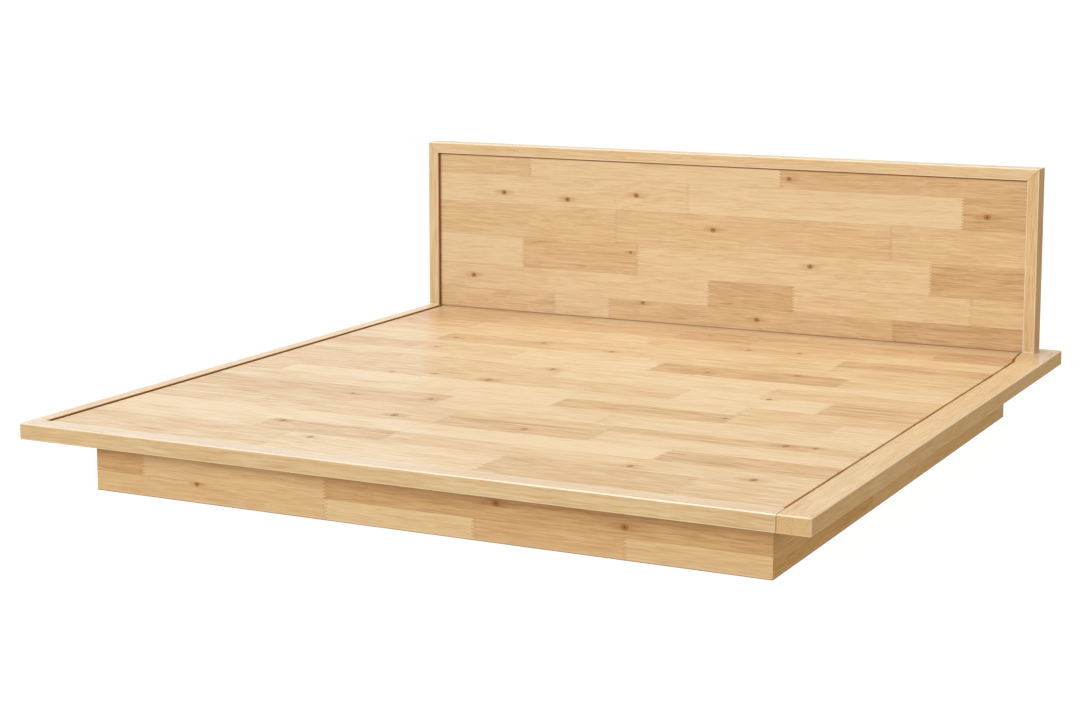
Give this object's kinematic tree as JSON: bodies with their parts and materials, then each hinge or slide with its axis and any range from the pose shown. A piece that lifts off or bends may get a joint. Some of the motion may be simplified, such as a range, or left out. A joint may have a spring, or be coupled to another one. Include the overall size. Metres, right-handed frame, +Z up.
{
  "type": "platform bed frame",
  "caption": "Low platform bed frame in finger-jointed softwood: rim rails over an inset plinth, drop-in deck panels that lift out, and a framed headboard with mitred corners.",
  "frame": {"origin": "on the floor, under the middle of the platform", "axes": "+Z up, +Y from the foot to the head, +X to the right of someone who looks from the foot to the head"},
  "size_m": [2.105, 2.185, 0.732],
  "materials": {
    "pine_rail": "clear satin lacquer",
    "pine_board": "clear satin lacquer",
    "pine_carcass": "planed, unfinished",
    "beech_dowel": "turned, unfinished",
    "zinc_plated_steel": "bright zinc plate"
  },
  "bodies": {
    "bed_frame": {"barrel_nuts": "zinc_plated_steel", "batten_screws": "zinc_plated_steel", "bearer_dowels": "beech_dowel", "bearer_screws": "zinc_plated_steel", "bolt_washers": "zinc_plated_steel", "cleat_screws": "zinc_plated_steel", "corner_block_foot_left": "pine_carcass", "corner_block_foot_right": "pine_carcass", "corner_block_head_left": "pine_carcass", "corner_block_head_right": "pine_carcass", "corner_block_screws": "zinc_plated_steel", "corner_plate_screws": "zinc_plated_steel", "corner_plates": "zinc_plated_steel", "cross_bearer_1": "pine_carcass", "cross_bearer_2": "pine_carcass", "cross_bearer_3": "pine_carcass", "cross_bearer_4": "pine_carcass", "cross_bearer_5": "pine_carcass", "cross_bearer_6": "pine_carcass", "cross_bearer_7": "pine_carcass", "end_bearer_foot": "pine_carcass", "end_bearer_head": "pine_carcass", "foot_rail": "pine_rail", "head_rail": "pine_carcass", "headboard_batten_1": "pine_carcass", "headboard_batten_2": "pine_carcass", "headboard_batten_3": "pine_carcass", "headboard_bolts": "zinc_plated_steel", "headboard_foot_cleat": "pine_carcass", "headboard_foot_dowels": "beech_dowel", "headboard_panel": "pine_board", "headboard_stile_left": "pine_rail", "headboard_stile_right": "pine_rail", "headboard_top_rail": "pine_rail", "mitre_dowels": "beech_dowel", "plinth_divider_foot": "pine_carcass", "plinth_divider_head": "pine_carcass", "plinth_dowels": "beech_dowel", "plinth_front": "pine_board", "plinth_left": "pine_board", "plinth_rear": "pine_board", "plinth_right": "pine_board", "plinth_spine": "pine_carcass", "rail_dowels": "beech_dowel", "side_rail_left": "pine_rail", "side_rail_right": "pine_rail", "tenon_screws": "zinc_plated_steel"},
    "deck_panel_1": {"deck_panel_1": "pine_board"},
    "deck_panel_2": {"deck_panel_2": "pine_board"},
    "deck_panel_3": {"deck_panel_3": "pine_board"},
    "deck_panel_4": {"deck_panel_4": "pine_board"}
  },
  "joints": [
    {"name": "deck_panel_1_lift", "type": "slide", "parent": "bed_frame", "child": "deck_panel_1", "axis": [0, 0, 1], "range_m": [0, 0.3]},
    {"name": "deck_panel_2_lift", "type": "slide", "parent": "bed_frame", "child": "deck_panel_2", "axis": [0, 0, 1], "range_m": [0, 0.3]},
    {"name": "deck_panel_3_lift", "type": "slide", "parent": "bed_frame", "child": "deck_panel_3", "axis": [0, 0, 1], "range_m": [0, 0.3]},
    {"name": "deck_panel_4_lift", "type": "slide", "parent": "bed_frame", "child": "deck_panel_4", "axis": [0, 0, 1], "range_m": [0, 0.3]}
  ]
}
